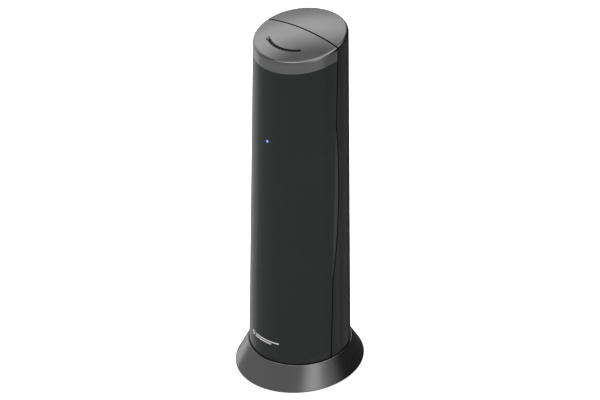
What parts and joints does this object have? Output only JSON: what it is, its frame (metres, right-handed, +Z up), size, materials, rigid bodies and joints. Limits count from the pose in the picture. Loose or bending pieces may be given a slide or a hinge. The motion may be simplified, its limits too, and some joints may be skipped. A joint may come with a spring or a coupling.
{
  "type": "cordless phone with charging base",
  "caption": "Oval tower cordless phone: the front half is a handset docked keypad inwards on a column base with a flared foot and domed metal-look caps.",
  "frame": {"origin": "on the standing surface, under the middle of the foot", "axes": "+Z up, -Y towards the front of the phone, +X to its right seen from behind"},
  "size_m": [0.0638, 0.0708, 0.192],
  "materials": {
    "cap_metallic": "satin metallic grey paint",
    "foot_metallic": "satin metallic grey paint",
    "cover_gloss": "glossy black",
    "shell_gloss": "glossy black",
    "case_black": "satin black",
    "inner_plastic": "matt black",
    "slot_plastic": "matt dark grey",
    "key_plastic": "satin dark grey",
    "talk_key": "satin green",
    "off_key": "satin red",
    "nav_metallic": "satin metallic grey paint",
    "display_lens": "clear tinted",
    "display_glass": "grey-green display",
    "circuit_board": "green solder mask",
    "silicone": "translucent grey silicone",
    "speaker_metal": "stamped can",
    "nickel_plate": "bright nickel plate",
    "cell_wrap": "plain blue sleeve",
    "steel_screw": "dark zinc plate",
    "indicator_light": "lit bluish white",
    "indicator_window": "clear bluish",
    "capacitor_can": "bright can",
    "switch_body": "matt black",
    "rubber_feet": "matt",
    "ballast_steel": "plain steel",
    "jack_plastic": "matt black",
    "gold_contact": "gold plate",
    "lead_insulation": "red sleeve"
  },
  "bodies": {
    "base": {"base_rear_shell": "shell_gloss", "base_top_cap": "cap_metallic", "base_cradle_panel": "case_black", "base_circuit_board": "circuit_board", "base_board_screws": "steel_screw", "base_shield": "nickel_plate", "base_antennas": "nickel_plate", "base_capacitors": "capacitor_can", "locator_switch": "switch_body", "base_foot_skirt": "foot_metallic", "base_bottom_plate": "inner_plastic", "rubber_feet": "rubber_feet", "ballast_plate": "ballast_steel", "charging_seat": "inner_plastic", "dc_inlet": "jack_plastic", "line_jack": "jack_plastic", "line_jack_contacts": "gold_contact", "base_leads": "lead_insulation", "base_screws": "steel_screw"},
    "handset": {"handset_chassis": "inner_plastic", "handset_top_cap": "cap_metallic", "ringer_slot_insert": "slot_plastic", "handset_front_case": "case_black", "display_lens": "display_lens", "display_module": "display_glass", "handset_circuit_board": "circuit_board", "keypad_mat": "silicone", "earpiece_speaker": "speaker_metal", "ringer_speaker": "speaker_metal", "microphone": "speaker_metal", "battery_cells": "cell_wrap", "battery_terminals": "nickel_plate", "handset_charge_plates": "nickel_plate", "handset_screws": "steel_screw", "indicator_led": "indicator_light", "handset_shield": "nickel_plate", "handset_antenna": "nickel_plate"},
    "battery_cover_body": {"battery_cover": "cover_gloss", "indicator_lens": "indicator_window"},
    "key_star_body": {"key_star": "key_plastic"},
    "key_0_body": {"key_0": "key_plastic"},
    "key_hash_body": {"key_hash": "key_plastic"},
    "key_7_body": {"key_7": "key_plastic"},
    "key_8_body": {"key_8": "key_plastic"},
    "key_9_body": {"key_9": "key_plastic"},
    "key_4_body": {"key_4": "key_plastic"},
    "key_5_body": {"key_5": "key_plastic"},
    "key_6_body": {"key_6": "key_plastic"},
    "key_1_body": {"key_1": "key_plastic"},
    "key_2_body": {"key_2": "key_plastic"},
    "key_3_body": {"key_3": "key_plastic"},
    "key_talk_body": {"key_talk": "talk_key"},
    "key_off_body": {"key_off": "off_key"},
    "key_soft_left_body": {"key_soft_left": "key_plastic"},
    "key_soft_right_body": {"key_soft_right": "key_plastic"},
    "nav_select_body": {"nav_select": "key_plastic"},
    "nav_rocker_body": {"nav_rocker": "nav_metallic"},
    "locator_button_body": {"locator_button": "key_plastic"},
    "charge_leaf_left_body": {"charge_leaf_left": "gold_contact"},
    "charge_leaf_right_body": {"charge_leaf_right": "gold_contact"}
  },
  "joints": [
    {"name": "handset_lift", "type": "slide", "parent": "base", "child": "handset", "axis": [0, -0.2079, 0.9781], "range_m": [0, 0.19]},
    {"name": "battery_cover_pull", "type": "slide", "parent": "handset", "child": "battery_cover_body", "axis": [0, -0.9865, -0.1638], "range_m": [0, 0.035]},
    {"name": "key_star_press", "type": "slide", "parent": "handset", "child": "key_star_body", "axis": [0, -0.9994, 0.0349], "range_m": [0, 0.0005], "stiffness_N_per_m": 1500},
    {"name": "key_0_press", "type": "slide", "parent": "handset", "child": "key_0_body", "axis": [0, -0.9994, 0.0349], "range_m": [0, 0.0005], "stiffness_N_per_m": 1500},
    {"name": "key_hash_press", "type": "slide", "parent": "handset", "child": "key_hash_body", "axis": [0, -0.9994, 0.0349], "range_m": [0, 0.0005], "stiffness_N_per_m": 1500},
    {"name": "key_7_press", "type": "slide", "parent": "handset", "child": "key_7_body", "axis": [0, -0.9994, 0.0349], "range_m": [0, 0.0005], "stiffness_N_per_m": 1500},
    {"name": "key_8_press", "type": "slide", "parent": "handset", "child": "key_8_body", "axis": [0, -0.9994, 0.0349], "range_m": [0, 0.0005], "stiffness_N_per_m": 1500},
    {"name": "key_9_press", "type": "slide", "parent": "handset", "child": "key_9_body", "axis": [0, -0.9994, 0.0349], "range_m": [0, 0.0005], "stiffness_N_per_m": 1500},
    {"name": "key_4_press", "type": "slide", "parent": "handset", "child": "key_4_body", "axis": [0, -0.9994, 0.0349], "range_m": [0, 0.0005], "stiffness_N_per_m": 1500},
    {"name": "key_5_press", "type": "slide", "parent": "handset", "child": "key_5_body", "axis": [0, -0.9994, 0.0349], "range_m": [0, 0.0005], "stiffness_N_per_m": 1500},
    {"name": "key_6_press", "type": "slide", "parent": "handset", "child": "key_6_body", "axis": [0, -0.9994, 0.0349], "range_m": [0, 0.0005], "stiffness_N_per_m": 1500},
    {"name": "key_1_press", "type": "slide", "parent": "handset", "child": "key_1_body", "axis": [0, -0.9994, 0.0349], "range_m": [0, 0.0005], "stiffness_N_per_m": 1500},
    {"name": "key_2_press", "type": "slide", "parent": "handset", "child": "key_2_body", "axis": [0, -0.9994, 0.0349], "range_m": [0, 0.0005], "stiffness_N_per_m": 1500},
    {"name": "key_3_press", "type": "slide", "parent": "handset", "child": "key_3_body", "axis": [0, -0.9994, 0.0349], "range_m": [0, 0.0005], "stiffness_N_per_m": 1500},
    {"name": "key_talk_press", "type": "slide", "parent": "handset", "child": "key_talk_body", "axis": [0, -0.9994, 0.0349], "range_m": [0, 0.0005], "stiffness_N_per_m": 1500},
    {"name": "key_off_press", "type": "slide", "parent": "handset", "child": "key_off_body", "axis": [0, -0.9994, 0.0349], "range_m": [0, 0.0005], "stiffness_N_per_m": 1500},
    {"name": "key_soft_left_press", "type": "slide", "parent": "handset", "child": "key_soft_left_body", "axis": [0, -0.9994, 0.0349], "range_m": [0, 0.0005], "stiffness_N_per_m": 1500},
    {"name": "key_soft_right_press", "type": "slide", "parent": "handset", "child": "key_soft_right_body", "axis": [0, -0.9994, 0.0349], "range_m": [0, 0.0005], "stiffness_N_per_m": 1500},
    {"name": "nav_select_press", "type": "slide", "parent": "handset", "child": "nav_select_body", "axis": [0, -0.9994, 0.0349], "range_m": [0, 0.0005], "stiffness_N_per_m": 1500},
    {"name": "nav_rocker_press", "type": "slide", "parent": "handset", "child": "nav_rocker_body", "axis": [0, -0.9994, 0.0349], "range_m": [0, 0.0004], "stiffness_N_per_m": 1800},
    {"name": "locator_press", "type": "slide", "parent": "base", "child": "locator_button_body", "axis": [0, 0.9994, -0.0349], "range_m": [0, 0.0005], "stiffness_N_per_m": 1200},
    {"name": "charge_leaf_left_bend", "type": "hinge", "parent": "base", "child": "charge_leaf_left_body", "pos_m": [0, -0.0065, 0.0061], "axis": [1, 0, 0], "range_deg": [0, 3.2], "stiffness_Nm_per_rad": 0.18},
    {"name": "charge_leaf_right_bend", "type": "hinge", "parent": "base", "child": "charge_leaf_right_body", "pos_m": [0, -0.0065, 0.0061], "axis": [1, 0, 0], "range_deg": [0, 3.2], "stiffness_Nm_per_rad": 0.18}
  ]
}
